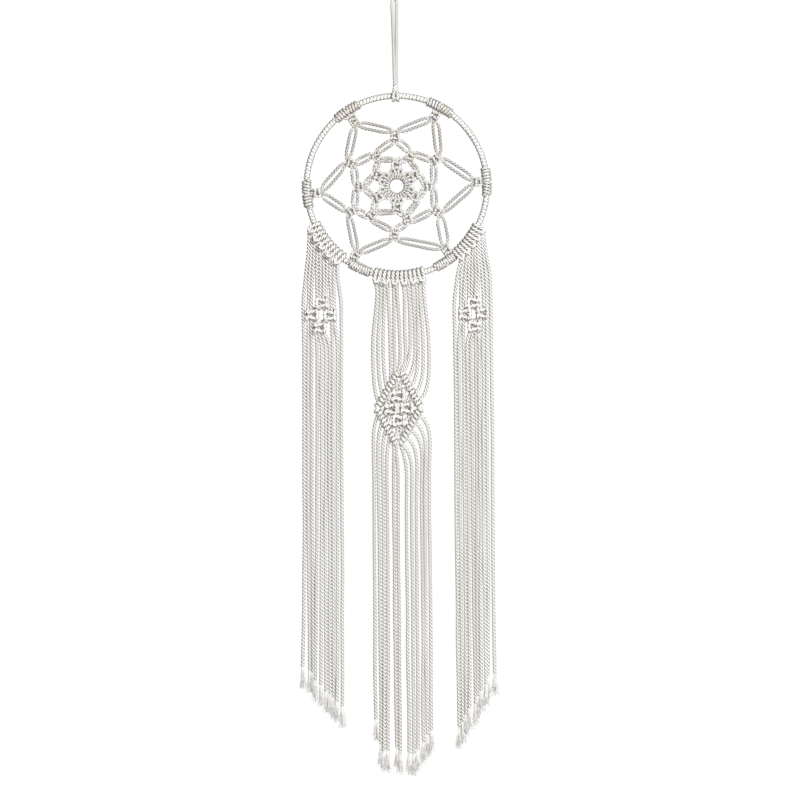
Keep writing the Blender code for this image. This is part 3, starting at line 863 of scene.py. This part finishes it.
class Material:
    """A material while its nodes are put together. A value for an input is a socket or a plain value."""

    def __init__(self, name):
        self.made = bpy.data.materials.new(name)
        self.made.use_nodes = True
        self.surface = self.made.node_tree.nodes["Principled BSDF"]

    def node(self, kind, **settings):
        node = self.made.node_tree.nodes.new(kind)
        for label, value in settings.items():
            setattr(node, label, value)
        return node

    def feed(self, node, **inputs):
        """Sets inputs of a node by their labels, with _ for a space."""
        for label, value in inputs.items():
            self.put(node.inputs[label.replace("_", " ")], value)

    def put(self, socket, value):
        if isinstance(value, bpy.types.NodeSocket):
            self.made.node_tree.links.new(value, socket)
        else:
            socket.default_value = value

    def attribute(self, name):
        return self.node("ShaderNodeAttribute", attribute_name=name).outputs["Fac"]

    def noise(self, where, scale, detail, roughness=0.5):
        node = self.node("ShaderNodeTexNoise")
        self.feed(node, Vector=where, Scale=scale, Detail=detail, Roughness=roughness)
        return node.outputs["Fac"]

    def mapped(self, value, low, high, to_low=0.0, to_high=1.0):
        """A value carried over from low and high to two other values, and held there beyond them."""
        node = self.node("ShaderNodeMapRange")
        self.feed(node, Value=value, From_Min=low, From_Max=high, To_Min=to_low, To_Max=to_high)
        return node.outputs["Result"]

    def maths(self, operation, *values):
        node = self.node("ShaderNodeMath", operation=operation)
        for socket, value in zip(node.inputs, values):
            self.put(socket, value)
        return node.outputs[0]

    def mix(self, share, one, other):
        """A mix of two colours."""
        node = self.node("ShaderNodeMix", data_type="RGBA")
        for index, value in ((0, share), (6, one), (7, other)):
            self.put(node.inputs[index], value)
        return node.outputs[2]

    def bump(self, height, strength, distance):
        node = self.node("ShaderNodeBump")
        self.feed(node, Strength=strength, Distance=distance, Height=height)
        self.feed(self.surface, Normal=node.outputs["Normal"])


def fibre_streaks(material):
    """Noise drawn out along the fibres, which slant across the rope as its plies do."""
    slant = material.node("ShaderNodeMapping")
    place = material.node("ShaderNodeUVMap", uv_map="cord").outputs["UV"]
    material.feed(slant, Vector=place, Rotation=(0.0, 0.0, math.radians(-40.0)))
    fibres = material.node("ShaderNodeMapping")
    material.feed(fibres, Vector=slant.outputs["Vector"], Scale=(2.2, 38.0, 1.0))
    return material.noise(fibres.outputs["Vector"], 1.0, 5.0, 0.65)


def cotton(name, white, warm):
    """Matt twisted cotton: off-white fibres along the rope, with painted shade between the plies and at
    its rim.
    """
    material = Material(name)
    streaks = fibre_streaks(material)
    position = material.node("ShaderNodeTexCoord").outputs["Object"]
    patches = material.noise(position, 42.0, 3.0)
    warmth = material.maths("MULTIPLY_ADD", patches, 0.3, material.attribute("tone"))
    colour = material.mix(warmth, white, warm)
    streak_share = material.mapped(streaks, 0.35, 0.7, 0.38, 0.0)
    colour = material.mix(streak_share, colour, (0.40, 0.39, 0.37, 1.0))
    # Painted shade in the grooves between the plies and where turns touch, with the cords' grey crests
    deep = material.maths("POWER", material.attribute("groove"), 1.2)
    painted_groove_shade = material.maths("MULTIPLY", deep, 0.8)
    colour = material.mix(painted_groove_shade, colour, (0.06, 0.058, 0.055, 1.0))
    # Painted shade at the rim, darker where the surface turns away from the camera
    edge = material.node("ShaderNodeLayerWeight")
    material.feed(edge, Blend=0.5)
    painted_rim_shade = material.mapped(edge.outputs["Facing"], 0.17, 0.60, 0.0, 0.90)
    colour = material.mix(painted_rim_shade, colour, (0.10, 0.098, 0.093, 1.0))
    roughness = material.mapped(streaks, 0.0, 1.0, 0.82, 0.98)
    material.feed(material.surface, Base_Color=colour, Roughness=roughness, Specular_IOR_Level=0.25)
    material.feed(material.surface, Sheen_Weight=0.1, Sheen_Roughness=0.5)
    material.bump(streaks, 0.8, 0.0006)
    return material.made


def drawn_steel(name):
    """Drawn steel wire: fine uneven lines and slightly uneven polish."""
    material = Material(name)
    position = material.node("ShaderNodeTexCoord").outputs["Object"]
    lines = material.noise(position, 900.0, 3.0)
    colour = material.mix(lines, (0.46, 0.46, 0.47, 1.0), (0.62, 0.62, 0.63, 1.0))
    roughness = material.mapped(lines, 0.0, 1.0, 0.25, 0.5)
    material.feed(material.surface, Base_Color=colour, Roughness=roughness, Metallic=1.0)
    material.bump(lines, 0.2, 0.0001)
    return material.made


def paint(thing, material):
    thing.data.materials.clear()
    thing.data.materials.append(material)


def finish_piece(shape, name, material):
    """A piece of the scene from a finished shape, with its material."""
    piece = shape.to_object(name)
    paint(piece, material)
    return piece


# Stage, light and camera

def add_floor():
    """A plain pale floor, a little way below the longest strands."""
    place = (0.0, 0.0, CAD_BOUNDS[0][2] - 0.35)
    bpy.ops.mesh.primitive_circle_add(vertices=96, radius=0.9, fill_type="NGON", location=place)
    floor = bpy.context.object
    floor.name = "floor"
    material = Material("pale_floor")
    material.feed(material.surface, Base_Color=(0.9, 0.9, 0.89, 1.0), Roughness=0.8)
    paint(floor, material.made)


def add_light(name, place, target, size, power):
    """A round soft light, in metres and watts."""
    data = bpy.data.lights.new(name, "AREA")
    data.shape = "DISK"
    data.size = size
    data.energy = power
    light = bpy.data.objects.new(name, data)
    bpy.context.scene.collection.objects.link(light)
    light.location = place
    light.rotation_euler = (target - light.location).to_track_quat("-Z", "Y").to_euler()


def add_world(seen, lit):
    """A white surround: seen is its brightness to the camera, lit is the light it gives."""
    world = bpy.data.worlds.new("studio")
    world.use_nodes = True
    nodes = world.node_tree.nodes
    links = world.node_tree.links
    background = nodes["Background"]
    rays = nodes.new("ShaderNodeLightPath")
    strength = nodes.new("ShaderNodeMapRange")
    strength.inputs["To Min"].default_value = lit
    strength.inputs["To Max"].default_value = seen
    links.new(rays.outputs["Is Camera Ray"], strength.inputs["Value"])
    links.new(strength.outputs["Result"], background.inputs["Strength"])
    background.inputs["Color"].default_value = (1.0, 1.0, 1.0, 1.0)
    bpy.context.scene.world = world


def add_studio():
    """A white surround, a key light from the front right, a low front fill and a light from behind."""
    target = Vector((0.0, 0.0, -0.45))
    add_world(1.02, 0.24)
    add_light("key", Vector((1.45, -2.1, 0.75)), target, 0.5, 110.0)
    add_light("fill", Vector((0.2, -2.8, -0.9)), target, 1.4, 52.0)
    add_light("back", Vector((-0.7, 2.6, 0.5)), target, 1.4, 55.0)
    view = bpy.context.scene.view_settings
    view.view_transform = "Standard"
    view.look = "None"


def add_camera():
    """Level and straight on, far enough back that the picture is nearly flat, and a touch off plumb."""
    lens = 100.0
    sensor = 36.0
    data = bpy.data.cameras.new("camera")
    data.lens = lens
    data.sensor_width = sensor
    camera = bpy.data.objects.new("camera", data)
    bpy.context.scene.collection.objects.link(camera)
    look_at = below_centre(0.5, PICTURE_DROP) * MM
    distance = PICTURE_WIDTH * MM * lens / sensor
    camera.location = (look_at[0], -distance, look_at[2])
    camera.rotation_euler = (math.radians(90.0), math.radians(CAMERA_ROLL), 0.0)
    data.clip_end = 20.0
    bpy.context.scene.camera = camera


def build():
    cord = cotton("cotton_cord", (0.88, 0.874, 0.858, 1.0), (0.80, 0.745, 0.67, 1.0))
    steel = drawn_steel("drawn_steel")
    for node in ("hoop_ring", "centre_ring"):
        paint(frame["nodes"][node], steel)
    add_hoop_wrap(cord)
    add_web(cord)
    for fringe in (LEFT, CENTRE, RIGHT):
        add_fringe(fringe, cord)
    add_hanger(cord)
    add_floor()
    add_studio()
    add_camera()


build()
